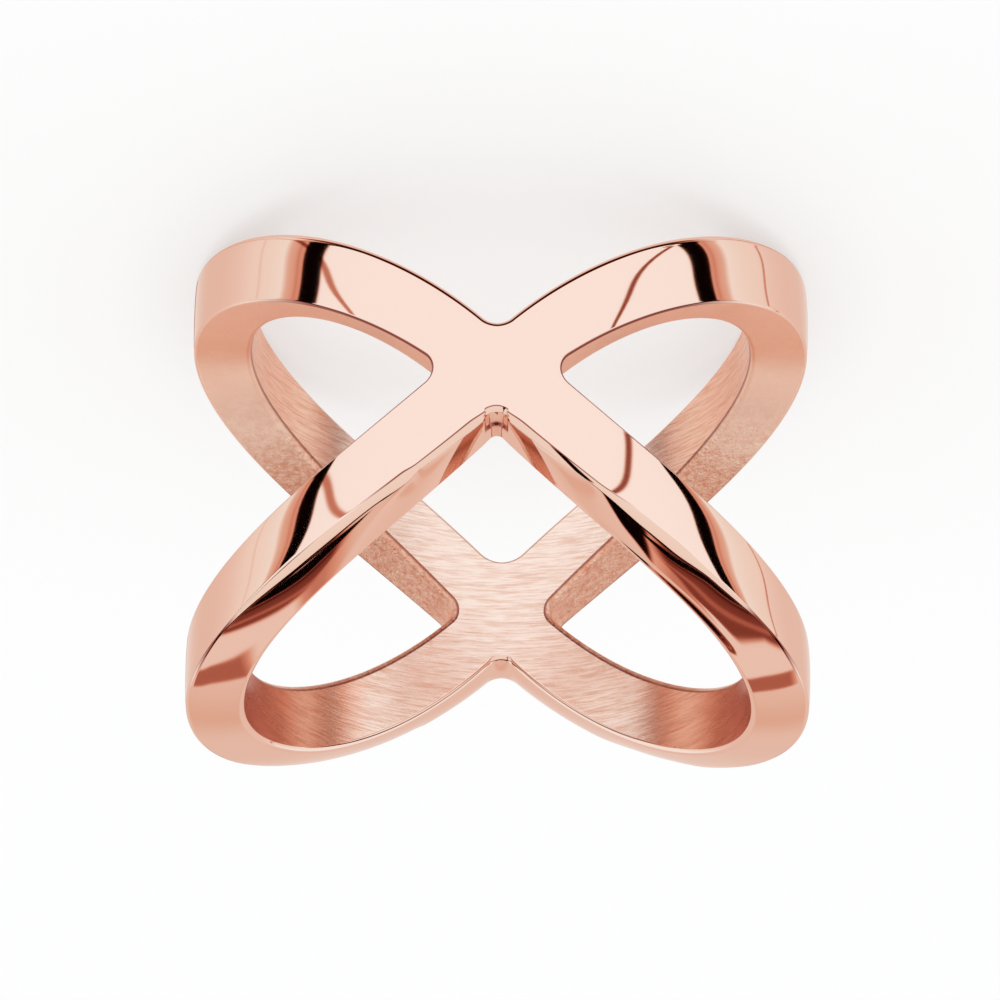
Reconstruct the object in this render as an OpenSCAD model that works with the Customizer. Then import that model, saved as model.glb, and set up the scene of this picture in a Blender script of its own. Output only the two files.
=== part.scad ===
// Crossover finger ring: one tube of polished metal, cut into two bands that cross at the front and at the back.
//
// The ring lies on its side. Z runs along the finger, z = 0 is the surface that it rests on,
// and the crossing that is worn on top of the finger faces -Y.
//
// Each band is a strip of even width on the unrolled tube. Its centre line is an arc that passes through
// both crossings and is furthest from the ring's middle at the sides. The cut faces point at the finger's axis,
// apart from the rims near the crossings, which lean a little.

/* [Ring] */
// Inside diameter, which is the finger size
bore_d = 17; // [14:0.1:21]
// Thickness of the metal from the bore to the outer face
wall = 2; // [1.4:0.1:2.8]

/* [Bands] */
// Width of each band
band_w = 2.45; // [1.8:0.05:3.2]
// Height of a band's centre line above the ring's middle, at the sides
lobe_h = 6.7; // [5.5:0.05:8.5]

/* [Corners where the bands cross] */
// Radius in the upper notch between the bands at the front crossing
front_notch_r = 0.35; // [0.1:0.05:1.5]
// Radius in the lower notch at the front crossing
front_low_notch_r = 0.5; // [0.1:0.05:1.5]
// Radius in the upper notch between the bands at the back crossing
back_notch_r = 0.6; // [0.1:0.05:1.5]
// Radius in the lower notch at the back crossing
back_low_notch_r = 1.3; // [0.1:0.05:1.5]
// Radius at the side windows' ends next to the front crossing
front_tip_r = 0.65; // [0.2:0.05:1.2]
// Radius at the side windows' ends next to the back crossing
back_tip_r = 0.45; // [0.2:0.05:1.2]
// How much deeper the rims are cut at the outer face than at the bore, where the bands cross
notch_cut = 0.2; // [0:0.05:0.4]

/* [Edges] */
// Radius of the polished outer edge along the rims, where the bands cross
rim_round = 0.25; // [0.1:0.05:1]
// Radius of the same edge at the top of the lobes, furthest from the crossings
lobe_round = 0.2; // [0.1:0.05:1]
// Width of the bevel along every edge of the bore
bore_bevel = 0.2; // [0.05:0.05:0.4]
// Width of the bevel round the outside of the windows
window_bevel = 0.08; // [0.02:0.01:0.2]

/* [Hidden] */

bore_r = bore_d / 2;
outer_r = bore_r + wall;
// The rounded edge leaves at least this much of the rim's face flat.
flat_min = 0.2;
edge_max = wall - bore_bevel - flat_min;
half_h = lobe_h + band_w / 2;

// Unrolled tube: s is the length round the outer face from a crossing, h the height above the middle.
quarter = 90 * PI / 180 * outer_r;
arc_r = (quarter * quarter + lobe_h * lobe_h) / (2 * lobe_h);
arc_h = lobe_h - arc_r;
rim_arc_r = arc_r + band_w / 2;
window_arc_r = arc_r - band_w / 2;

// How far a cutter runs past the tube, and the number of steps along each long arc and each corner
over = 0.4;
arc_steps = 16;
corner_steps = 6;
round_steps = 3;
tube_fn = 180;

// An outline point is [s, h, turn]: the outline's normal into the metal leans by turn from the ring's axis.

// Rim of one quarter, from the notch at the crossing to the top of the lobe
function rim_quarter(r) =
    let (reach = rim_arc_r + r, lean = asin(quarter / reach), notch_h = arc_h + reach * cos(lean))
    concat(
        [for (i = [0 : corner_steps - 1]) let (a = lean * i / corner_steps)
            [r * sin(a), notch_h - r * cos(a), a]],
        [for (i = [0 : arc_steps]) let (a = lean * (1 - i / arc_steps))
            [quarter - rim_arc_r * sin(a), arc_h + rim_arc_r * cos(a), a]]
    );

// Upper edge of one quarter of a window, from its tip at the crossing to the middle of the window
function window_quarter(r) =
    let (reach = window_arc_r - r, lean = acos(-arc_h / reach), tip_s = quarter - reach * sin(lean))
    concat(
        [for (i = [0 : corner_steps - 1]) let (a = 90 - (90 - lean) * i / corner_steps)
            [tip_s - r * sin(a), r * cos(a), a]],
        [for (i = [0 : arc_steps]) let (a = lean * (1 - i / arc_steps))
            [quarter - window_arc_r * sin(a), arc_h + window_arc_r * cos(a), a]]
    );

// The same points in the other order, as they lie on the far side of the lobe
function mirrored(points, middle_s) =
    [for (i = [len(points) - 2 : -1 : 0]) let (p = points[i]) [2 * middle_s - p[0], p[1], -p[2]]];

// The same points below the ring's middle
function flipped(points) =
    [for (i = [len(points) - 2 : -1 : 1]) let (p = points[i]) [p[0], -p[1], 180 - p[2]]];

// Point on the tube: side is 1 or -1 for the normal's sense along the height, shift moves it into the metal
function on_tube(p, r, shift, side) =
    let (a = p[0] / outer_r * 180 / PI + side * shift * sin(p[2]) / r * 180 / PI,
         z = p[1] - side * shift * cos(p[2]))
    [r * sin(a), -r * cos(a), half_h + z];

// Radius of the rims' outer edge at an outline point: it runs evenly from the crossings to the lobes
function edge_r(p) =
    let (share = pow(sin(p[0] / quarter * 90), 2))
    min(rim_round + (lobe_round - rim_round) * share, edge_max);

// Depth of the notch cut at an outline point, on the outer face: it fades out within 40 degrees of a crossing
function cut_at(p) = notch_cut * pow(max(0, 1 - asin(abs(sin(p[0] / quarter * 90))) / 40), 2);

// Section of a cut across the wall, as [radius, shift into the metal]: bevel at the bore, flat, outer edge
function rim_section(r) = concat(
    [[bore_r - over, bore_bevel + over], [bore_r + bore_bevel, 0]],
    [for (i = [0 : round_steps - 1]) let (a = 90 * i / round_steps)
        [outer_r - r * (1 - sin(a)), r * (1 - cos(a))]],
    [let (a = 90 * (round_steps - 1) / round_steps)
        [outer_r + over * (1 - sin(a)), r + over * cos(a)]]
);

// The same section with the notch cut, which grows evenly from the bore to the outer face
function leaning(section, cut) = [for (c = section) [c[0], c[1] + cut * (c[0] - bore_r) / wall]];

function window_section() = [
    [bore_r - over, bore_bevel + over], [bore_r + bore_bevel, 0],
    [outer_r - window_bevel, 0], [outer_r + over, window_bevel + over]
];

// Faces between two rows of points with the same length, the first row at number from
function strip(from, to, count) =
    [for (i = [0 : count - 1]) let (j = (i + 1) % count) each [
        [from + i, from + j, to + j],
        [from + i, to + j, to + i]
    ]];

// Everything above the upper rim: a closed band whose underside is the polished rim
module rim_cutter(front_r, back_r) {
    front = rim_quarter(front_r);
    back = rim_quarter(back_r);
    half = concat(front, mirrored(back, quarter));
    round_trip = concat(half, mirrored(half, 2 * quarter));
    outline = [for (i = [0 : len(round_trip) - 2]) round_trip[i]];
    count = len(outline);
    sections = [for (p = outline) leaning(rim_section(edge_r(p)), cut_at(p))];
    top = half_h + over;
    rows = concat(
        [for (k = [0 : len(sections[0]) - 1]) [for (i = [0 : count - 1])
            on_tube(outline[i], sections[i][k][0], sections[i][k][1], 1)]],
        [for (r = [outer_r + over, bore_r - over]) [for (p = outline)
            let (q = on_tube(p, r, 0, 1)) [q[0], q[1], half_h + top]]]
    );
    points = [for (row = rows) each row];
    faces = [for (k = [0 : len(rows) - 1]) each strip((k + 1) % len(rows) * count, k * count, count)];
    polyhedron(points = points, faces = faces);
}

// One side window, cut towards the finger's axis, with its corners rounded
module window_cutter() {
    upper = concat(window_quarter(front_tip_r), mirrored(window_quarter(back_tip_r), quarter));
    outline = concat(upper, flipped(upper));
    count = len(outline);
    section = window_section();
    rows = [for (c = section) [for (p = outline) on_tube(p, c[0], c[1], -1)]];
    points = [for (row = rows) each row];
    last = (len(rows) - 1) * count;
    half_count = len(upper) - 1;
    sides = [for (k = [0 : len(rows) - 2]) each strip(k * count, (k + 1) * count, count)];
    inner_cap = concat(
        [[0, count - 1, 1]],
        [for (i = [1 : half_count - 2]) each [
            [i, count - i, i + 1],
            [i + 1, count - i, count - i - 1]
        ]],
        [[half_count - 1, half_count + 1, half_count]]
    );
    outer_cap = [for (f = inner_cap) [last + f[0], last + f[2], last + f[1]]];
    polyhedron(points = points, faces = concat(sides, inner_cap, outer_cap));
}

module tube() {
    difference() {
        cylinder(r = outer_r, h = 2 * half_h, $fn = tube_fn);
        translate([0, 0, -over]) cylinder(r = bore_r, h = 2 * (half_h + over), $fn = tube_fn);
    }
}

module ring() {
    color([0.88, 0.68, 0.58]) difference() {
        tube();
        rim_cutter(front_notch_r, back_notch_r);
        translate([0, 0, 2 * half_h]) mirror([0, 0, 1]) rim_cutter(front_low_notch_r, back_low_notch_r);
        window_cutter();
        mirror([1, 0, 0]) window_cutter();
    }
}

ring();
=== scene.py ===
"""Crossover ring: two polished rose gold bands that cross on top of the finger and again under it.

The ring lies on its side on a pale floor. Z runs along the finger, and the crossing that is worn on top
faces -Y.
"""
import math

import bpy
import numpy as np
from bpy.props import FloatProperty, FloatVectorProperty, IntProperty, PointerProperty
from bpy.types import Operator, Panel, PropertyGroup
from mathutils import Matrix, Vector


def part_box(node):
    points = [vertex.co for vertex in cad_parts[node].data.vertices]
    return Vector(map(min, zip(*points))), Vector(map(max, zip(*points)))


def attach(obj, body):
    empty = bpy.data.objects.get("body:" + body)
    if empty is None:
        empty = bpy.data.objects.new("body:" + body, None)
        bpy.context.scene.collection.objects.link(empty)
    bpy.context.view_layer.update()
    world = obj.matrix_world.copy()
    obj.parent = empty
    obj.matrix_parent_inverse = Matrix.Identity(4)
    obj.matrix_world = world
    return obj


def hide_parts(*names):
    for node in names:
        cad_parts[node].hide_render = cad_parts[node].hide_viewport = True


bl_info = {
    "name": "Crossover Ring",
    "version": (1, 0, 0),
    "blender": (4, 5, 0),
    "location": "View3D > Sidebar > Crossover Ring",
    "description": "Builds a polished ring of two crossing bands and the studio that it is shown in",
    "category": "Add Mesh",
}

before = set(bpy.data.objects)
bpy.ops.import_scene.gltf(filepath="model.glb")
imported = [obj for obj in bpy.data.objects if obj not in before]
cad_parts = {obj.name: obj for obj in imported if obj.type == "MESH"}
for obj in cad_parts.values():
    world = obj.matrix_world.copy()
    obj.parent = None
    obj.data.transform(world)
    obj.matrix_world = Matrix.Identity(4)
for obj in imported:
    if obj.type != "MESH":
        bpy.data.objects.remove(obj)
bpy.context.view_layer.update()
LOW, HIGH = (np.array(corner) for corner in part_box("ring"))

MM = 0.001
DEG = math.pi / 180
# The rims' deeper cut and their facets fade out within this many degrees of a crossing
NOTCH_REACH = 40
# Where the picture's middle lies from the ring's middle, as seen by the camera
AIM_UP, AIM_RIGHT = 0.139 * MM, 0.0207 * MM
FLOOR_HALF = 1.5
# Steps across each part of a band's section: the outer face and the bore, the rim's outer edge, the rim's
# face, the window's face, a bevel and the window's small outer edge
FACE_STEPS, EDGE_STEPS, RIM_STEPS, WINDOW_STEPS, BEVEL_STEPS, TRIM_STEPS = 16, 12, 22, 8, 5, 4
# Points closer than this are one point
WELD = 0.0005 * MM


# Sizes and colours that a user would change

def length(name, text, mm, low, high):
    """A length property, given in millimetres and kept in metres."""
    return FloatProperty(name=name, description=text, default=mm * MM, min=low * MM, max=high * MM,
                         subtype="DISTANCE", unit="LENGTH", precision=5)


def share(name, text, default, low=0.0, high=1.0):
    """A plain factor."""
    return FloatProperty(name=name, description=text, default=default, min=low, max=high, precision=3)


def colour(name, text, default):
    """A linear colour."""
    return FloatVectorProperty(name=name, description=text, default=default, size=3, subtype="COLOR",
                               min=0.0, max=4.0)


class RingSizes(PropertyGroup):
    """Sizes of the ring, the same as in its solid model."""
    bore_d: length("Inside diameter", "The finger size", 17, 14, 21)
    wall: length("Wall", "Thickness of the metal from the bore to the outer face", 2, 1.4, 2.8)
    band_w: length("Band width", "Width of each band", 2.45, 1.8, 3.2)
    lobe_h: length("Lobe height", "Height of a band's centre line above the middle, at the sides",
                   6.7, 5.5, 8.5)
    front_notch_r: length("Front notch", "Radius in the upper notch at the front crossing", 0.35, 0.1, 1.5)
    front_low_notch_r: length("Front lower notch", "Radius in the lower notch at the front crossing",
                              0.5, 0.1, 1.5)
    back_notch_r: length("Back notch", "Radius in the upper notch at the back crossing", 0.6, 0.1, 1.5)
    back_low_notch_r: length("Back lower notch", "Radius in the lower notch at the back crossing",
                             1.3, 0.1, 1.5)
    front_tip_r: length("Front window end", "Radius at the windows' ends next to the front crossing",
                        0.65, 0.2, 1.2)
    back_tip_r: length("Back window end", "Radius at the windows' ends next to the back crossing",
                       0.45, 0.2, 1.2)
    notch_cut: length("Notch cut", "How much deeper the rims are cut at the outer face, near the crossings",
                      0.2, 0, 0.4)
    bore_bevel: length("Bore bevel", "Width of the bevel along every edge of the bore", 0.2, 0.05, 0.4)
    window_bevel: length("Window edge", "Radius of the outer edge round the windows", 0.08, 0.02, 0.2)
    low_round: length("Lower rim edge", "Radius of the lower rim's outer edge", 0.25, 0.05, 1)
    lobe_round: length("Lobe edge", "Radius of the rims' outer edge at the top of the lobes", 0.2, 0.05, 1)
    crisp_round: length("Crisp edge", "Radius of the upper rim's outer edge where it is crisp",
                        0.06, 0.03, 0.6)
    worn_deep: length("Worn edge", "How deep the polishing wheel cut into the upper rim's outer edge",
                      0.46, 0.05, 1)
    worn_wide: length("Worn edge width", "How far that cut reaches into the outer face", 0.2, 0.05, 1)
    crown: length("Band crown", "How far a band's outer face falls from its middle to its edges",
                  0.045, 0, 0.15)
    flatter: share("Flatter side", "Crown of the bands towards +X, against those towards -X", 0.6)
    facet_wide: length("Notch facet", "How far the facet next to the front notch is cut into the outer face",
                       0.25, 0.05, 0.5)
    facet_deep: length("Notch facet depth", "How deep that facet reaches towards the bore",
                       0.34, 0.05, 0.8)
    rim_crown: length("Rim crown", "How far the rims' faces bulge", 0.025, 0, 0.1)
    rim_fall: length("Rim fall", "How far the rims' faces fall towards their outer edge", 0.014, 0, 0.2)
    twist: length("Rim twist", "How far the upper rim leans, inwards towards +X and outwards towards -X",
                  0.085, 0, 0.3)
    line_deep: length("Polish line", "Depth of the line that polishing left along the bore, towards -X",
                      0.012, 0, 0.05)
    groove_w: length("Groove width", "Width of the small groove in the front notch", 0.74, 0.3, 1)
    groove_deep: length("Groove depth", "Depth of that groove next to the outer face", 0.08, 0, 0.2)
    along: IntProperty(name="Steps along", description="Steps along each leg from crossing to lobe",
                       default=100, min=40, max=160)


class RingFinish(PropertyGroup):
    """Colours and finishes of the metal."""
    gold: colour("Rose gold", "Colour of the polished plating", (0.93, 0.63, 0.515))
    bore_gold: colour("Inside colour", "Colour of the brushed inside", (0.98, 0.72, 0.60))
    cut_gold: colour("Window colour", "Colour of the satin cut faces", (0.99, 0.64, 0.49))
    # painted reflection: the dark red of the lines painted on crisp edges, standing in for the dark room they
    # mirror
    painted_edge_reflection: colour("Edge colour", "Colour of the dull plating on the sharp edges", (0.33, 0.075, 0.05))
    polish: share("Polish roughness", "Roughness of the polished faces", 0.045)
    brush: share("Brushed roughness", "Roughness of the brushed inside", 0.26)
    satin: share("Satin roughness", "Roughness of the cut faces", 0.34)


class StudioLook(PropertyGroup):
    """Floor, light and camera."""
    floor: colour("Floor", "Colour of the pale floor", (0.93, 0.93, 0.93))
    dome: share("Dome", "Strength of the even light that falls on the floor", 1.08, 0.0, 4.0)
    shade: share("Shade", "Share of the floor's light that the ring can shade", 0.5)
    tilt: FloatProperty(name="View angle", description="Angle between the view and the finger's axis",
                        default=63.893 * DEG, subtype="ANGLE")
    turn: FloatProperty(name="Turn", description="Turn of the view round the finger's axis",
                        default=0.691 * DEG, subtype="ANGLE")
    roll: FloatProperty(name="Roll", description="Roll of the picture, past the half turn",
                        default=0.502 * DEG, subtype="ANGLE")
    away: length("Distance", "Distance from the camera to the ring's middle", 332.0, 100, 900)
    lens: FloatProperty(name="Lens", description="Focal length in millimetres", default=352.44,
                        min=50, max=900)


# Geometry: outlines on the unrolled tube

def plan(sizes):
    """Derived sizes: each band's centre line is an arc on the unrolled tube, through both crossings."""
    outer_r = sizes.bore_d / 2 + sizes.wall
    quarter = math.pi / 2 * outer_r
    arc_r = (quarter ** 2 + sizes.lobe_h ** 2) / (2 * sizes.lobe_h)
    return {
        "bore_r": sizes.bore_d / 2,
        "outer_r": outer_r,
        "quarter": quarter,
        "arc_h": sizes.lobe_h - arc_r,
        "rim_arc_r": arc_r + sizes.band_w / 2,
        "window_arc_r": arc_r - sizes.band_w / 2,
        "half_h": sizes.lobe_h + sizes.band_w / 2,
    }


def stations(count):
    """Shares from 0 at the crossing to 1 at the lobe: the fillet takes the first part, the long arc the rest,
    in steps that grow towards the lobe."""
    fillet = count // 8
    even_steps = np.linspace(0, 1, count - fillet + 1)
    return np.linspace(0, 1, fillet, endpoint=False), 0.3 * even_steps + 0.7 * even_steps ** 2


def long_arc(g, r, turn):
    """Rows (s, h, turn) of a long arc of radius r, whose centre is under the lobe: s is the quarter less the
    sine of turn times r, and h the centre's height plus the cosine of turn times r."""
    return np.stack([g["quarter"] - r * np.sin(turn), g["arc_h"] + r * np.cos(turn), turn], -1)


def rim_line(g, r, count):
    """Rim outline as rows (s, h, turn): a fillet of radius r round the notch, whose turn runs from 0 to lean,
    then the long arc, whose turn runs from lean back to 0. lean is where the two circles touch."""
    reach = g["rim_arc_r"] + r
    lean = math.asin(g["quarter"] / reach)
    notch_h = g["arc_h"] + reach * math.cos(lean)
    u, v = stations(count)
    a, b = lean * u, lean * (1 - v)
    fillet = np.stack([r * np.sin(a), notch_h - r * np.cos(a), a], -1)
    return np.concatenate([fillet, long_arc(g, g["rim_arc_r"], b)])


def window_line(g, r, count):
    """Window outline as rows (s, h, turn): a round end of radius r, whose turn runs from a right angle to
    lean, then the long arc, whose turn runs from lean to 0."""
    reach = g["window_arc_r"] - r
    lean = math.acos(-g["arc_h"] / reach)
    tip = g["quarter"] - reach * math.sin(lean)
    u, v = stations(count)
    a, b = math.pi / 2 - (math.pi / 2 - lean) * u, lean * (1 - v)
    end = np.stack([tip - r * np.sin(a), r * np.cos(a), a], -1)
    return np.concatenate([end, long_arc(g, g["window_arc_r"], b)])


def smooth(x, low, high):
    """Smooth step from 0 at low to 1 at high."""
    t = np.clip((x - low) / (high - low), 0, 1)
    return t * t * (3 - 2 * t)


def even(count):
    """Shares from 0 to 1, closer together at both ends: (1 - cos) / 2 of an even turn."""
    return (1 - np.cos(np.linspace(0, math.pi, count + 1))) / 2


def near_crossing(g, s):
    """Share of the notch cut at a length s from a crossing: the square of a line from 1 there to 0 at
    NOTCH_REACH."""
    return np.maximum(0, 1 - s / g["quarter"] * 90 / NOTCH_REACH) ** 2


def on_tube(g, line, rho, shift, side):
    """Angle and height of points at radius rho, moved by shift from the outline into the metal along its
    normal."""
    s, h, turn = (line[:, i:i + 1] for i in range(3))
    angle = s / g["outer_r"] + side * shift * np.sin(turn) / rho
    height = h - side * shift * np.cos(turn)
    return angle, height


# Parts of a band's section, in the order in which leg() makes them
OUTER, EDGE, RIM, BORE_RIM, BORE, BORE_WINDOW, WINDOW, WINDOW_EDGE = range(8)


def corner(count):
    """Rows (along, down) that go round a unit corner, half way between a chamfer and a quarter circle."""
    t = np.linspace(0, 1, count + 1)
    turn = t * math.pi / 2
    return 0.5 * (1 - np.cos(turn)) + 0.5 * t, 0.5 * np.sin(turn) + 0.5 * t


def leg(g, sizes, rim, window, wide, deep, crown, front_top, twist, line):
    """One leg's closed section at each station: angle, height and radius, each stations by section points,
    and the part that each point belongs to.

    The outer face runs straight from the window to the rim on the unrolled tube. It falls by the crown times
    the mean of the square and the fourth power of the distance from its middle. Its outer edge takes wide off
    the face and deep off the rim: a quarter of an ellipse, or mostly a flat facet next to the front notch.
    The rim's face falls by the fifth power of the distance from the bore towards that edge, bulges a little,
    up to three times as much near the crossings, and carries the polish line, a bell curve across it. From
    the bore to the outer face the rim also leans, by what the notch cut leaves beside the bulge and the
    facet, and by the twist. Then come the bore's bevel, the bore, the other bevel and the window's face."""
    angle, height, radius, part = [], [], [], []

    def add(kind, a, h, rho):
        """Adds the points of one part, without the last one, which starts the next part."""
        angle.append(a[:, :-1])
        height.append(np.broadcast_to(h, a.shape)[:, :-1])
        radius.append(np.broadcast_to(rho, a.shape)[:, :-1])
        part.append(np.full(a.shape[1] - 1, kind))

    def between(start, stop, v):
        """Angles and heights that run straight from start to stop by shares v."""
        return [first + (last - first) * v for first, last in zip(start, stop)]

    outer, bore = g["outer_r"], g["bore_r"]
    bevel, trim = sizes.bore_bevel, sizes.window_bevel
    near = near_crossing(g, rim[:, :1])
    dome = sizes.rim_crown * (1 + 2 * near * (1 - front_top))
    sink = sizes.rim_fall + dome
    facet = (sizes.facet_wide - sizes.crisp_round) * front_top
    slant = np.maximum(sizes.notch_cut - 2 * sizes.rim_crown - facet, 0) * near
    flat = 0.8 * smooth(near, 0.1, 0.4) * front_top

    def at_rim(rho, shift):
        """Points on the rim's side: shift, the lean and, in the front notch, the groove's depth are added up.
        A twist outwards grows from the bore to the outer face, and one inwards the other way."""
        out = (rho - bore) / (outer - bore)
        lean = slant * out + np.where(twist > 0, out, out - 1) * twist
        aside = rim[:, :1] * rho / outer + (shift + lean) * np.sin(rim[:, 2:])
        inside = 1 - smooth(aside, 0.45 * sizes.groove_w, 0.5 * sizes.groove_w)
        return on_tube(g, rim, rho, shift + lean + front_top * inside * hollow(g, sizes, rho), 1)

    # outer face
    v = even(FACE_STEPS)[None, :]
    bulge = (2 * v - 1) ** 2
    start, stop = on_tube(g, window, outer, trim, -1), at_rim(outer, sink + wide)
    add(OUTER, *between(start, stop, v), outer - crown * (bulge + bulge ** 2) / 2)
    # outer edge of the rim
    t = np.linspace(0, 1, EDGE_STEPS + 1)[None, :]
    turn = t * math.pi / 2
    rho = outer - crown - deep * (flat * t + (1 - flat) * (1 - np.cos(turn)))
    add(EDGE, *at_rim(rho, sink + wide * (flat * (1 - t) + (1 - flat) * (1 - np.sin(turn)))), rho)
    # face of the rim, with the polish line
    top, low = outer - crown - deep, bore + bevel
    v = even(RIM_STEPS)[None, :]
    rho = top + (low - top) * v
    wider = smooth(rim[:, :1] / g["quarter"], 0.35, 0.6)
    line_r, line_w = low + (0.13 + 0.08 * wider) * MM, (0.045 + 0.08 * wider) * MM
    line = line * (1 + 1.2 * wider) * np.exp(-((rho - line_r) / line_w) ** 2)
    add(RIM, *at_rim(rho, sizes.rim_fall * (1 - v) ** 5 + dome * (2 * v - 1) ** 2 + line), rho)
    # bevel, bore, bevel
    along, down = corner(BEVEL_STEPS)
    rho = (low - bevel * down)[None, :]
    add(BORE_RIM, *at_rim(rho, dome * (1 - along) + bevel * along), rho)
    start, stop = at_rim(bore, bevel), on_tube(g, window, bore, bevel, -1)
    add(BORE, *between(start, stop, even(FACE_STEPS)[None, :]), bore)
    add(BORE_WINDOW, *on_tube(g, window, rho[:, ::-1], bevel * along[None, ::-1], -1), rho[:, ::-1])
    # face of the window and its small outer edge
    rho = low + (outer - trim - low - crown) * even(WINDOW_STEPS)[None, :]
    add(WINDOW, *on_tube(g, window, rho, 0, -1), rho)
    along, down = corner(TRIM_STEPS)
    rho = outer - crown - trim * (1 - down)[None, :]
    add(WINDOW_EDGE, *on_tube(g, window, rho, trim * along[None, :], -1), rho)
    return [np.concatenate(x, 1) for x in (angle, height, radius)] + [np.concatenate(part)]


def hollow(g, sizes, rho):
    """Depth of the groove at radius rho: full from the outer face to the middle of the wall, where it steps
    up, a third of it from there on, and nothing at the bore."""
    share_r = (rho - g["bore_r"]) / (g["outer_r"] - g["bore_r"])
    return sizes.groove_deep * (0.65 * smooth(share_r, 0.50, 0.56) + 0.35 * smooth(share_r, 0.0, 0.3))


def rounding(g, sizes, line, front, top, side):
    """How wide and how deep the rim's outer edge is rounded along a leg. The lower rim changes evenly. The
    upper rim is crisp, apart from a stretch where the polishing wheel cut in, which fades out slowly towards
    +X and starts later but cuts deeper at first towards -X. At the front, the facet's sizes are added next to
    the crossing, half of them in the middle of the notch."""
    share_s = line[:, :1] / g["quarter"]
    edge = sizes.crisp_round if top else sizes.low_round
    edge = edge + (sizes.lobe_round - edge) * smooth(share_s, 0.62, 1.0)
    if not top:
        return edge, edge
    if side > 0:
        worn = 0.6 * smooth(share_s, 0.155, 0.185) + 0.4 * smooth(share_s, 0.185, 0.38)
        worn = worn * (1 - smooth(share_s, 0.42, 0.70))
    else:
        worn = 1.2 * smooth(share_s, 0.20, 0.31) * (1 - 0.65 * smooth(share_s, 0.38, 0.48))
        worn = worn * (1 - smooth(share_s, 0.50, 0.65))
    near = near_crossing(g, line[:, :1]) * front * (0.5 + 0.5 * smooth(line[:, :1], 0.1 * MM, 0.8 * MM))
    return (edge + (sizes.worn_wide - edge) * worn + (sizes.facet_wide - sizes.crisp_round) * near,
            edge + (sizes.worn_deep - edge) * worn + (sizes.facet_deep - sizes.crisp_round) * near)


def sharp(g, sizes, rim, radius, part, deep, front_top):
    """Where dark lines are painted on the metal, by station and section point, as painted reflections of the
    dark
    room in crisp edges: 1 on the upper rim's edge as long as it is crisp, on its first rows next to the front
    notch, on the windows' outer edges near the crossings, on the first rows of their inner bevels and at the
    step in the groove, and 0 elsewhere."""
    along = rim[:, :1] / g["quarter"]
    painted_line = np.zeros(radius.shape)
    edge = np.flatnonzero(part == EDGE)
    painted_line[:, edge[2:]] = 1 - smooth(deep, 1.3 * sizes.crisp_round, 2.5 * sizes.crisp_round)
    painted_line[:, edge[:2]] = front_top * (1 - smooth(along, 0.2, 0.3))
    painted_line[:, np.flatnonzero(part == BORE_WINDOW)[:2]] = 1
    painted_line[:, part == WINDOW_EDGE] = 1 - smooth(along, 0.3, 0.55)
    in_groove = front_top * (1 - smooth(rim[:, :1], 0.48 * sizes.groove_w, 0.56 * sizes.groove_w))
    share_r = (radius - g["bore_r"]) / sizes.wall
    return np.maximum(painted_line, (part == RIM) * in_groove * np.exp(-((share_r - 0.53) / 0.06) ** 2))


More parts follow.
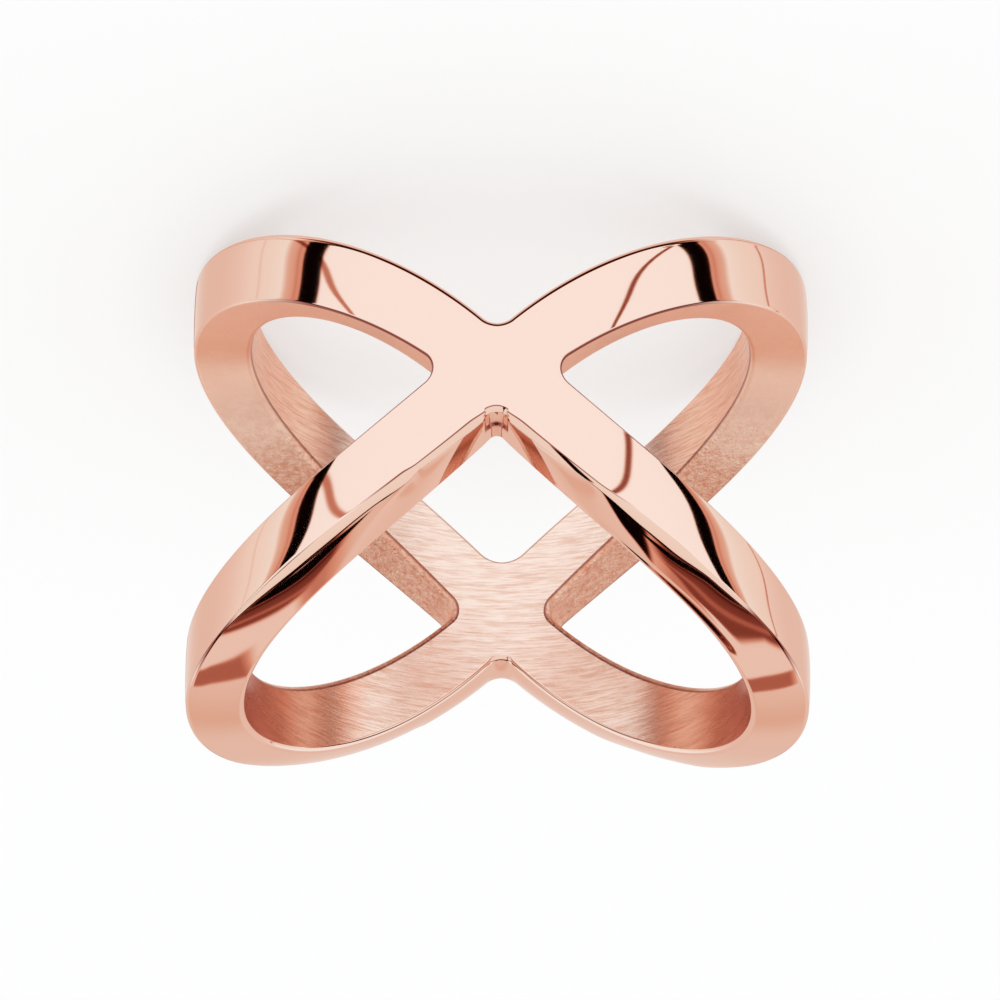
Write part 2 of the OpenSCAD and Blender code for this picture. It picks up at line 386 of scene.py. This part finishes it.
def ring_mesh(sizes):
    """Points, faces, unrolled positions, marks for the painted dark edge lines and part numbers of the whole
    ring: eight legs, front or back by up or down by side, and the four patches between them."""
    g = plan(sizes)
    points, faces, unrolled, marks, parts = [], [], [], [], []
    base = 0
    tips = {}
    notches = {(1, 1): sizes.front_notch_r, (1, -1): sizes.front_low_notch_r,
               (-1, 1): sizes.back_notch_r, (-1, -1): sizes.back_low_notch_r}

    def place(angle, height, radius, front, side, up):
        """Adds points from a leg's angle, height and radius. Round the back the unrolled length runs on past
        the crossing, so a pattern has no seam there."""
        past = 2 * math.pi if front < 0 and side < 0 else 0
        turn = side * (angle if front > 0 else math.pi - angle) + past
        spot = (radius * np.sin(turn), -radius * np.cos(turn), g["half_h"] + up * height)
        points.append(np.stack(spot, -1).reshape(-1, 3))
        unrolled.append(np.stack([turn * g["outer_r"], up * height, radius], -1).reshape(-1, 3))

    def grid(rows, cols, closed, flip, kinds):
        """Adds faces between rows by cols points, whose rows close on themselves if closed."""
        nonlocal base
        i, j = np.meshgrid(np.arange(rows - 1), np.arange(cols if closed else cols - 1), indexing="ij")
        k = (j + 1) % cols
        quad = [i * cols + j, (i + 1) * cols + j, (i + 1) * cols + k, i * cols + k]
        quad = np.stack(quad[::-1] if flip else quad, -1).reshape(-1, 4)
        faces.append(base + quad)
        parts.append(np.broadcast_to(kinds, i.shape).reshape(-1))
        base += rows * cols

    for (front, up), notch_r in notches.items():
        rim = rim_line(g, notch_r, sizes.along)
        window = window_line(g, sizes.front_tip_r if front > 0 else sizes.back_tip_r, sizes.along)
        front_top = float(front > 0 and up > 0)
        along = rim[:, :1] / g["quarter"]
        for side in (1, -1):
            crown = sizes.crown * (sizes.flatter if side > 0 else 1) * smooth(along, 0.0, 0.3)
            twist = (up > 0) * -side * sizes.twist * smooth(along, 0.45, 0.75)
            line = front_top * (side < 0) * sizes.line_deep
            line = line * smooth(along, 0.12, 0.2) * (1 - smooth(along, 0.6, 0.75))
            wide, deep = rounding(g, sizes, rim, front > 0, up > 0, side)
            angle, height, radius, part = leg(g, sizes, rim, window, wide, deep, crown, front_top,
                                              twist, line)
            edge, bore = np.flatnonzero(part == EDGE), np.flatnonzero(part == BORE)
            ends = np.append(np.flatnonzero(part == OUTER), edge[0])
            back = np.append(bore, bore[-1] + 1)[::-1]
            tips[front, up] = [(angle[0, row], height[0, row]) for row in (ends, back)]
            place(angle, height, radius, front, side, up)
            marks.append(sharp(g, sizes, rim, radius, part, deep, front_top).ravel())
            grid(*angle.shape, True, front * side * up < 0, part)

    # the patches where the bands cross: straight lines between the notches' and the windows' tips
    for front in (1, -1):
        for layer, rho, kind in ((0, g["outer_r"], OUTER), (1, g["bore_r"], BORE)):
            (across, high), (_, low) = tips[front, 1][layer], tips[front, -1][layer]
            shares = (across - across[0]) / (across[-1] - across[0])
            p, q = np.meshgrid(shares, shares, indexing="ij")
            angle = across[0] * ((1 - p) * (1 - q) - p * q)
            height = high[-1] * p * (1 - q) - low[-1] * (1 - p) * q
            place(angle, height, rho + 0 * angle, front, 1, 1)
            marks.append(np.zeros(angle.size))
            grid(*angle.shape, False, (front > 0) != (layer == 0), kind)
    return tuple(np.concatenate(x) for x in (points, faces, unrolled, marks, parts))


def weld(points, faces, marks):
    """Merges points that lie on each other, so the patches become one closed surface."""
    key = np.round(points / WELD).astype(np.int64)
    _, first, index = np.unique(key, axis=0, return_index=True, return_inverse=True)
    return points[first], index.reshape(-1)[faces], marks[first]


# Nodes

class Nodes:
    """Short calls that add nodes to a tree and link them."""

    def __init__(self, tree):
        self.tree = tree
        self.tree.nodes.clear()

    def add(self, kind, inputs=(), **settings):
        """A node of that kind, with attributes from settings. Each input is a value or a socket to link."""
        node = self.tree.nodes.new(kind)
        for name, value in settings.items():
            setattr(node, name, value)
        for name, value in dict(inputs).items():
            self.put(node.inputs[name], value)
        return node

    def put(self, socket, value):
        """Links a socket, or sets its value."""
        if isinstance(value, bpy.types.NodeSocket):
            self.tree.links.new(value, socket)
        elif hasattr(socket.default_value, "__len__"):
            alpha = (1.0,) * (len(socket.default_value) - len(value))
            socket.default_value = (*value, *alpha)
        else:
            socket.default_value = value

    def math(self, operation, *values, clamp=False):
        """Result of a Math node."""
        node = self.add("ShaderNodeMath", operation=operation, use_clamp=clamp)
        for socket, value in zip(node.inputs, values):
            self.put(socket, value)
        return node.outputs[0]

    def step(self, value, low, high, start=0.0, end=1.0):
        """Smooth step of value from start at low to end at high."""
        ends = {"Value": value, "From Min": low, "From Max": high, "To Min": start, "To Max": end}
        return self.add("ShaderNodeMapRange", ends, interpolation_type="SMOOTHSTEP").outputs["Result"]

    def band(self, value, low, high, soft):
        """1 between low and high, falling to 0 over soft on either side."""
        rise, fall = self.step(value, low - soft, low), self.step(value, high, high + soft, 1.0, 0.0)
        return self.math("MULTIPLY", rise, fall)

    def dot(self, vector, direction):
        """Dot product of a vector socket with a fixed direction."""
        node = self.add("ShaderNodeVectorMath", operation="DOT_PRODUCT")
        self.put(node.inputs[0], vector)
        self.put(node.inputs[1], direction)
        return node.outputs["Value"]

    def mix(self, factor, first, second, blend="MIX"):
        """Colour mix."""
        node = self.add("ShaderNodeMix", data_type="RGBA", blend_type=blend)
        for socket, value in ((node.inputs[0], factor), (node.inputs[6], first), (node.inputs[7], second)):
            self.put(socket, value)
        return node.outputs[2]

    def blend(self, factor, first, second):
        """Number mix."""
        node = self.add("ShaderNodeMix", data_type="FLOAT")
        for socket, value in ((node.inputs[0], factor), (node.inputs[2], first), (node.inputs[3], second)):
            self.put(socket, value)
        return node.outputs[0]

    def dim(self, light, mask, strength):
        """Light that is dimmed by strength where mask is 1."""
        return self.math("MULTIPLY", light, self.math("MULTIPLY_ADD", mask, -strength, 1.0))

    def ramp(self, value, stops):
        """Colour ramp with stops as (position, colour or grey)."""
        node = self.add("ShaderNodeValToRGB", inputs={"Fac": value})
        elements = node.color_ramp.elements
        while len(elements) < len(stops):
            elements.new(1.0)
        for element, (position, shade) in zip(elements, stops):
            element.position = position
            element.color = (*shade, 1.0) if np.ndim(shade) else (shade, shade, shade, 1.0)
        return node.outputs["Color"]

    def noise(self, vector, scale, detail=2.0, roughness=0.5):
        """Noise from -0.5 to 0.5."""
        values = {"Vector": vector, "Scale": scale, "Detail": detail, "Roughness": roughness}
        return self.math("SUBTRACT", self.add("ShaderNodeTexNoise", values).outputs["Fac"], 0.5)

    def attribute(self, name, output="Vector"):
        """An attribute of the piece's mesh."""
        return self.add("ShaderNodeAttribute", attribute_name=name).outputs[output]

    def bump(self, height, strength, distance):
        """Normal of a Bump node."""
        return self.add("ShaderNodeBump", {"Height": height, "Strength": strength,
                                           "Distance": distance}).outputs[0]

    def stretch(self, vector, scale):
        """Vector times a scale for each axis."""
        node = self.add("ShaderNodeMapping", inputs={"Vector": vector, "Scale": scale}, vector_type="POINT")
        return node.outputs[0]


def group(name, inputs, outputs):
    """A shader node group with named sockets, and its Nodes helper, input sockets and output node."""
    tree = bpy.data.node_groups.new(name, "ShaderNodeTree")
    kinds = {"float": "NodeSocketFloat", "vector": "NodeSocketVector"}
    for label, kind, value in inputs:
        socket = tree.interface.new_socket(label, in_out="INPUT", socket_type=kinds[kind])
        if value is not None:
            socket.default_value = value
    for label, kind in outputs:
        tree.interface.new_socket(label, in_out="OUTPUT", socket_type=kinds[kind])
    nodes = Nodes(tree)
    source, end = nodes.add("NodeGroupInput"), nodes.add("NodeGroupOutput")
    return tree, nodes, source.outputs, end.inputs


def metal(name, build):
    """A material whose Principled shader is fed by build(nodes, shader)."""
    material = bpy.data.materials.new(name)
    material.use_nodes = True
    nodes = Nodes(material.node_tree)
    shader = nodes.add("ShaderNodeBsdfPrincipled")
    shader.inputs["Metallic"].default_value = 1.0
    out = nodes.add("ShaderNodeOutputMaterial")
    nodes.tree.links.new(shader.outputs[0], out.inputs["Surface"])
    build(nodes, shader)
    return material


def place_group(nodes, tree, values):
    """Puts a node group into a tree with its inputs set."""
    node = nodes.add("ShaderNodeGroup")
    node.node_tree = tree
    for label, value in values.items():
        nodes.put(node.inputs[label], value)
    return node.outputs


def scratch_group():
    """Fine lines along the finger's circumference, from noise that is stretched along the unrolled tube."""
    tree, n, given, out = group(
        "fine_lines",
        [("Unrolled", "vector", None), ("Fineness", "float", 10.0), ("Length", "float", 30.0)],
        [("Lines", "float"), ("Streaks", "float")])
    across = n.add("ShaderNodeSeparateXYZ", inputs={"Vector": given["Unrolled"]}).outputs
    long_s = n.math("DIVIDE", n.math("MULTIPLY", across[0], 1000.0), given["Length"])
    fine_h = n.math("MULTIPLY", across[1], 1000.0)
    spot = n.add("ShaderNodeCombineXYZ", inputs={"X": long_s, "Y": fine_h, "Z": across[2]}).outputs[0]
    n.put(out["Lines"], n.noise(spot, given["Fineness"], 3.0, 0.6))
    n.put(out["Streaks"], n.noise(spot, 2.3, 3.0, 0.55))
    return tree


def build_materials(finish, half_round):
    """The three finishes of the one casting: polished outside, brushed inside, satin in the windows.
    half_round is the way round the outer face from one crossing to the other."""
    lines = scratch_group()

    def polished(n, shader):
        place = n.attribute("unrolled")
        where = n.add("ShaderNodeTexCoord").outputs["Object"]
        fine = place_group(n, lines, {"Unrolled": place, "Fineness": 14.0, "Length": 6.0})
        cloud = n.noise(where, 420.0, 2.0)
        shade = n.mix(n.math("ADD", 0.5, n.math("MULTIPLY", cloud, 0.5)),
                      [c * 0.99 for c in finish.gold], [min(c * 1.01, 1) for c in finish.gold])
        # painted reflection: dark lines painted along crisp edges, in place of the dark room that they mirror
        edge_mark = n.attribute("edge_mark", "Fac")
        n.put(shader.inputs["Base Color"], n.mix(edge_mark, shade, finish.painted_edge_reflection))
        n.put(shader.inputs["Roughness"],
              n.math("ADD", finish.polish, n.math("MULTIPLY", fine["Lines"], 0.02)))
        n.put(shader.inputs["Normal"], n.bump(cloud, 0.02, 0.05 * MM))

    def brushed(n, shader):
        place = n.attribute("unrolled")
        fine = place_group(n, lines, {"Unrolled": place, "Fineness": 13.0, "Length": 14.0})
        wide = place_group(n, lines, {"Unrolled": place, "Fineness": 5.5, "Length": 20.0})
        both = n.math("ADD", n.math("MULTIPLY", fine["Lines"], 0.8), n.math("MULTIPLY", wide["Lines"], 0.5))
        worn_gold = [c * k for c, k in zip(finish.bore_gold, (0.86, 0.70, 0.63))]
        shade = n.mix(n.math("MULTIPLY_ADD", both, 4.4, 0.66, clamp=True), worn_gold, finish.bore_gold)
        # painted shade and painted reflection: the inside is darker and redder towards the lobes behind the
        # middle, where it mirrors itself, most of all on the upper band and faintly on the lower one
        s, h, _ = n.add("ShaderNodeSeparateXYZ", inputs={"Vector": place}).outputs
        turn = n.math("DIVIDE", n.math("PINGPONG", s, half_round), half_round)
        deep = n.ramp(turn, [
            (0.0, 1.0), (0.36, 1.0), (0.50, (0.70, 0.40, 0.33)), (0.556, (0.62, 0.27, 0.21)),
            (0.611, (0.66, 0.29, 0.22)), (0.667, (0.75, 0.40, 0.31)), (0.722, (0.90, 0.62, 0.51)),
            (0.778, (1.0, 0.64, 0.52)), (0.825, 1.0), (1.0, 1.0)])
        faint_painted_shade = n.ramp(turn, [
            (0.0, 1.0), (0.40, 1.0), (0.50, (0.97, 0.84, 0.78)), (0.74, (0.97, 0.81, 0.74)),
            (0.81, 1.0), (1.0, 1.0)])
        shade = n.mix(1.0, shade, n.mix(n.step(h, 0.0, 0.003), faint_painted_shade, deep), "MULTIPLY")
        n.put(shader.inputs["Base Color"], shade)
        n.put(shader.inputs["Roughness"],
              n.math("ADD", finish.brush, n.math("MULTIPLY", wide["Streaks"], 0.10)))
        n.put(shader.inputs["Normal"], n.bump(both, 0.3, 0.03 * MM))

    def satin(n, shader):
        place = n.attribute("unrolled")
        where = n.add("ShaderNodeTexCoord").outputs["Object"]
        # the cast skin is left grainy towards the back crossing and is smoother towards the front
        s, _, _ = n.add("ShaderNodeSeparateXYZ", inputs={"Vector": place}).outputs
        s = n.math("PINGPONG", s, half_round)
        rough = n.step(s, 0.0185, 0.0240)
        # painted highlight: pale marks a lighter, less metallic band on the window faces just behind the
        # lobes
        pale = n.math("MULTIPLY", n.step(s, 0.0155, 0.0180), n.step(s, 0.0215, 0.0245, 1.0, 0.0))
        grain = n.noise(where, 9500.0, 2.0, 0.6)
        lumps = n.noise(n.stretch(where, (1.0, 1.0, 0.6)), 3800.0, 3.0, 0.6)
        cloud = n.noise(where, 600.0, 2.0)
        both = n.math("ADD", n.math("MULTIPLY", grain, 0.8), n.math("MULTIPLY", lumps, 1.2))
        level = n.math("MULTIPLY_ADD", cloud, 0.7, n.math("MULTIPLY_ADD", pale, 0.25, 0.55))
        speckle = n.math("MULTIPLY", both, n.math("MULTIPLY_ADD", rough, 1.5, 0.25))
        tint = n.math("ADD", speckle, level, clamp=True)
        # painted highlight: the lighter colour of that band
        painted_highlight_gold = [min(c * k, 1) for c, k in zip(finish.cut_gold, (1.02, 1.14, 1.20))]
        gold = n.mix(pale, finish.cut_gold, painted_highlight_gold)
        dark = n.mix(rough, (0.88, 0.72, 0.65), (0.80, 0.50, 0.40))
        shade = n.mix(1.0, gold, n.mix(tint, dark, (1.0, 1.0, 1.0)), "MULTIPLY")
        # painted reflection: the same dark edge lines, a little fainter
        edge_mark = n.attribute("edge_mark", "Fac")
        shade = n.mix(n.math("MULTIPLY", edge_mark, 0.8), shade, finish.painted_edge_reflection)
        n.put(shader.inputs["Base Color"], shade)
        # the painted highlight band is less metallic, so the even light lightens it
        n.put(shader.inputs["Metallic"], n.math("MULTIPLY_ADD", pale, -0.4, 1.0))
        n.put(shader.inputs["Roughness"], n.math("ADD", finish.satin, n.math("MULTIPLY", cloud, 0.1)))
        height = n.math("MULTIPLY", both, n.math("MULTIPLY_ADD", rough, 0.7, 0.1))
        n.put(shader.inputs["Normal"], n.bump(height, 1.0, 0.09 * MM))

    return [metal("polished_rose_gold", polished), metal("brushed_rose_gold", brushed),
            metal("satin_rose_gold", satin)]


# Operators

class RINGSHOP_OT_ring(Operator):
    """Builds the ring as one closed surface and puts it in place of its solid"""
    bl_idname = "ringshop.ring"
    bl_label = "Crossover Ring"

    def execute(self, context):
        sizes, finish = context.scene.ring_sizes, context.scene.ring_finish
        points, faces, unrolled, marks, parts = ring_mesh(sizes)
        unrolled = unrolled[faces.ravel()]
        points, faces, marks = weld(points, faces, marks)
        mesh = bpy.data.meshes.new("crossover_ring")
        mesh.from_pydata(points, [], faces)
        for material in build_materials(finish, math.pi * plan(sizes)["outer_r"]):
            mesh.materials.append(material)
        # the finish of each part, in the order of their numbers: polished 0, brushed 1, satin 2
        slots = np.array([0, 0, 0, 0, 1, 2, 2, 0], dtype=np.int32)
        mesh.polygons.foreach_set("material_index", slots[parts])
        place = mesh.attributes.new("unrolled", "FLOAT_VECTOR", "CORNER")
        place.data.foreach_set("vector", unrolled.astype(np.float32).ravel())
        # where the dark edge lines of painted reflection go
        edges = mesh.attributes.new("edge_mark", "FLOAT", "POINT")
        edges.data.foreach_set("value", marks.astype(np.float32))
        mesh.shade_smooth()
        mesh.update()
        piece = bpy.data.objects.new("crossover_ring", mesh)
        context.scene.collection.objects.link(piece)
        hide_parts("ring")
        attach(piece, "root")
        return {"FINISHED"}


class RINGSHOP_OT_stage(Operator):
    """Makes the pale floor and the studio's light"""
    bl_idname = "ringshop.stage"
    bl_label = "Studio"

    def execute(self, context):
        look = context.scene.studio_look
        corners = [(x * FLOOR_HALF, y * FLOOR_HALF, 0) for x, y in ((-1, -1), (1, -1), (1, 1), (-1, 1))]
        mesh = bpy.data.meshes.new("floor")
        mesh.from_pydata(corners, [], [(0, 1, 2, 3)])
        floor = bpy.data.objects.new("floor", mesh)
        context.scene.collection.objects.link(floor)
        paint = bpy.data.materials.new("pale_floor")
        paint.use_nodes = True
        shader = paint.node_tree.nodes["Principled BSDF"]
        shader.inputs["Base Color"].default_value = (*(c * look.shade for c in look.floor), 1.0)
        shader.inputs["Emission Color"].default_value = (*look.floor, 1.0)
        shader.inputs["Emission Strength"].default_value = (1 - look.shade) * look.dome
        shader.inputs["Roughness"].default_value = 0.9
        shader.inputs["Specular IOR Level"].default_value = 0.0
        mesh.materials.append(paint)
        floor.visible_glossy = False
        self.surroundings(context, look)
        context.scene.view_settings.view_transform = "Standard"
        return {"FINISHED"}

    def surroundings(self, context, look):
        """The room that the polish reflects, as brightness by direction, then a warm tone for each
        brightness. The floor and the background see an even white light instead."""
        world = bpy.data.worlds.new("studio")
        context.scene.world = world
        world.use_nodes = True
        n = Nodes(world.node_tree)
        way = n.add("ShaderNodeTexCoord").outputs["Generated"]
        x, y, z = n.add("ShaderNodeSeparateXYZ", inputs={"Vector": way}).outputs
        aside = n.math("ABSOLUTE", x)
        toward = n.dot(way, toward_camera(look.tilt, look.turn))
        # 0 at the back of the room, 1 at its front: lamps, a brown edge, a black gap, a bright screen
        place = n.math("MULTIPLY_ADD", x, -0.0195, n.math("MULTIPLY_ADD", toward, 0.5, 0.5))
        light = n.ramp(place, [
            (0.000, 0.70), (0.035, 0.64), (0.060, 0.625), (0.100, 0.645), (0.135, 0.66), (0.20, 0.71),
            (0.265, 0.79), (0.335, 0.82), (0.383, 0.86), (0.392, 0.72), (0.402, 0.58), (0.425, 0.52),
            (0.435, 0.38), (0.441, 0.48), (0.449, 0.50), (0.451, 0.0), (0.509, 0.0), (0.513, 0.95),
            (0.62, 0.98), (1.0, 1.0)])
        # thin gaps in the lamps: one on the -X side and a faint one on the +X side
        for side, at, strength in ((-1, 0.236, 0.5), (1, 0.295, 0.12)):
            line = n.band(place, at - 0.002, at + 0.002, 0.005)
            line = n.math("MULTIPLY", line, n.step(x, 0.0, 0.1 * side))
            line = n.math("MULTIPLY", line, n.step(z, 0.1, 0.3, 1.0, 0.0))
            light = n.dim(light, line, strength)
        # the seams of the bright screen, a great circle on either side
        for side, strength, first, second in ((1, 0.83, (-58.5, -33.6), (-40, -18)),
                                              (-1, 0.66, (64.8, -26.1), (56, -20.9))):
            seam = np.cross(heading(*first), heading(*second))
            seam /= np.linalg.norm(seam)
            line = n.band(n.dot(way, seam), -0.006, 0.006, 0.016)
            line = n.math("MULTIPLY", line, n.step(x, 0.0, -0.1 * side))
            light = n.dim(light, line, strength)
        # high up behind: lamps with brown posts at their sides, a dark red panel over them, a streak on
        # either side, a brown beam below them and bright wings further out
        red = n.ramp(place, [
            (0.0, 0.16), (0.398, 0.15), (0.403, 0.26), (0.409, 0.24), (0.414, 0.15), (0.434, 0.13),
            (0.446, 0.05), (0.452, 0.0), (1.0, 0.0)])
        lamps = n.ramp(aside, [
            (0.0, 0.73), (0.285, 0.73), (0.33, 0.44), (0.37, 0.34), (0.41, 0.36), (0.44, 0.48),
            (0.49, 0.62), (0.56, 0.66), (0.575, 0.52), (0.59, 0.66), (1.0, 0.66)])
        panel = n.step(n.math("MULTIPLY_ADD", aside, 0.15, z), 0.765, 0.785)
        lamps = n.blend(n.math("MULTIPLY", panel, n.step(aside, 0.41, 0.475, 1.0, 0.0)), lamps, red)
        light = n.dim(light, n.step(z, 0.2, 0.4), 0.17)
        streak = n.math("MULTIPLY", n.band(aside, 0.570, 0.582, 0.012), n.band(z, 0.37, 0.52, 0.05))
        light = n.blend(streak, light, 0.58)
        behind = n.step(place, 0.446, 0.452, 1.0, 0.0)
        light = n.blend(n.math("MULTIPLY", n.step(z, 0.58, 0.64), behind), light, lamps)
        slope = n.math("ADD", n.math("MULTIPLY_ADD", x, 0.12, z), n.step(x, 0.0, 0.05, 0.0, 0.006))
        beam = n.math("MULTIPLY", n.band(slope, 0.598, 0.656, 0.016), n.step(aside, 0.10, 0.17, 1.0, 0.0))
        light = n.blend(n.math("MULTIPLY", beam, n.step(y, 0.0, 0.2)), light, 0.25)
        wings = n.math("MULTIPLY", n.step(z, 0.12, 0.28), n.step(place, 0.43, 0.45, 1.0, 0.0))
        light = n.blend(n.math("MULTIPLY", n.step(aside, 0.595, 0.625), wings), light, 0.92)
        # high up towards +X, a black post, and a dark red glow in the black gap
        post = n.math("MULTIPLY", n.band(x, 0.48, 0.60, 0.02), n.band(z, 0.63, 0.80, 0.025))
        light = n.blend(post, light, 0.0)
        glow = n.math("MULTIPLY", n.band(x, 0.13, 0.32, 0.06), n.band(z, 0.68, 0.79, 0.04))
        light = n.math("MAXIMUM", light, n.math("MULTIPLY", glow, 0.09))
        # a dark floor in front, which the edges that lean downwards show as a thin line
        floor = n.math("MULTIPLY", n.step(z, -0.82, -0.73, 1.0, 0.0), n.step(y, -0.1, 0.1, 1.0, 0.0))
        light = n.dim(light, floor, 0.92)
        tone = n.ramp(light, [
            (0.0, (0.002, 0.0005, 0.0003)), (0.1, (0.10, 0.018, 0.012)), (0.2, (0.34, 0.09, 0.06)),
            (0.3, (0.53, 0.21, 0.15)), (0.5, (0.75, 0.42, 0.32)), (0.6, (0.79, 0.62, 0.53)),
            (0.7, (0.86, 0.76, 0.72)), (0.8, (0.91, 0.92, 0.89)), (0.9, (0.96, 1.12, 1.18)),
            (1.0, (1.05, 1.20, 1.29))])
        shine = n.add("ShaderNodeBackground", inputs={"Color": tone, "Strength": 1.0})
        white = n.add("ShaderNodeBackground", inputs={"Color": (1.0, 1.0, 1.0), "Strength": look.dome})
        rays = n.add("ShaderNodeLightPath").outputs
        pick = n.math("MAXIMUM", rays["Is Diffuse Ray"], rays["Is Camera Ray"])
        both = n.add("ShaderNodeMixShader")
        for socket, value in zip(both.inputs, (pick, shine.outputs[0], white.outputs[0])):
            n.tree.links.new(value, socket)
        out = n.add("ShaderNodeOutputWorld")
        n.tree.links.new(both.outputs[0], out.inputs["Surface"])


def heading(turn, rise):
    """Unit vector at an angle round Z from -Y towards +X, and an angle above the floor, both in degrees."""
    turn, rise = turn * DEG, rise * DEG
    return np.array((math.sin(turn) * math.cos(rise), -math.cos(turn) * math.cos(rise), math.sin(rise)))


def toward_camera(tilt, turn):
    """Direction from the ring's middle to the camera: tilt from +Z, turned round Z from -Y."""
    return (-math.sin(turn) * math.sin(tilt), -math.cos(turn) * math.sin(tilt), math.cos(tilt))


class RINGSHOP_OT_camera(Operator):
    """Puts the camera at the photograph's angle to the ring"""
    bl_idname = "ringshop.camera"
    bl_label = "Camera"

    def execute(self, context):
        look = context.scene.studio_look
        s, c = math.sin(look.turn), math.cos(look.turn)
        st, ct = math.sin(look.tilt), math.cos(look.tilt)
        toward = Vector(toward_camera(look.tilt, look.turn))
        right, up = Vector((-c, s, 0)), Vector((-s * ct, -c * ct, -st))
        cr, sr = math.cos(look.roll), math.sin(look.roll)
        right, up = cr * right + sr * up, cr * up - sr * right
        middle = Vector((0, 0, (LOW[2] + HIGH[2]) / 2))
        aim = middle + up * AIM_UP + right * AIM_RIGHT
        data = bpy.data.cameras.new("camera")
        data.lens, data.sensor_width, data.sensor_fit = look.lens, 36.0, "HORIZONTAL"
        data.clip_start, data.clip_end = 0.01, 10.0
        camera = bpy.data.objects.new("camera", data)
        context.scene.collection.objects.link(camera)
        spot = aim + toward * look.away
        camera.matrix_world = Matrix((
            (right.x, up.x, toward.x, spot.x),
            (right.y, up.y, toward.y, spot.y),
            (right.z, up.z, toward.z, spot.z),
            (0, 0, 0, 1)))
        context.scene.camera = camera
        return {"FINISHED"}


class RINGSHOP_PT_panel(Panel):
    """Lists the steps and the sizes"""
    bl_idname = "RINGSHOP_PT_panel"
    bl_label = "Crossover Ring"
    bl_space_type = "VIEW_3D"
    bl_region_type = "UI"
    bl_category = "Crossover Ring"

    def draw(self, context):
        scene = context.scene
        for step in STEPS:
            self.layout.operator(step.bl_idname)
        for settings in (scene.ring_sizes, scene.ring_finish, scene.studio_look):
            box = self.layout.box()
            for name in settings.bl_rna.properties.keys():
                if name not in ("rna_type", "name"):
                    box.prop(settings, name)


STEPS = (RINGSHOP_OT_ring, RINGSHOP_OT_stage, RINGSHOP_OT_camera)
CLASSES = (RingSizes, RingFinish, StudioLook, *STEPS, RINGSHOP_PT_panel)


def register():
    """Registers the classes and puts the settings on the scene."""
    for item in CLASSES:
        bpy.utils.register_class(item)
    bpy.types.Scene.ring_sizes = PointerProperty(type=RingSizes)
    bpy.types.Scene.ring_finish = PointerProperty(type=RingFinish)
    bpy.types.Scene.studio_look = PointerProperty(type=StudioLook)


def unregister():
    """Takes the settings and the classes away again."""
    del bpy.types.Scene.ring_sizes, bpy.types.Scene.ring_finish, bpy.types.Scene.studio_look
    for item in reversed(CLASSES):
        bpy.utils.unregister_class(item)


def main():
    """Builds the ring, the studio and the camera."""
    register()
    bpy.ops.ringshop.ring()
    bpy.ops.ringshop.stage()
    bpy.ops.ringshop.camera()


if __name__ == "__main__":
    main()
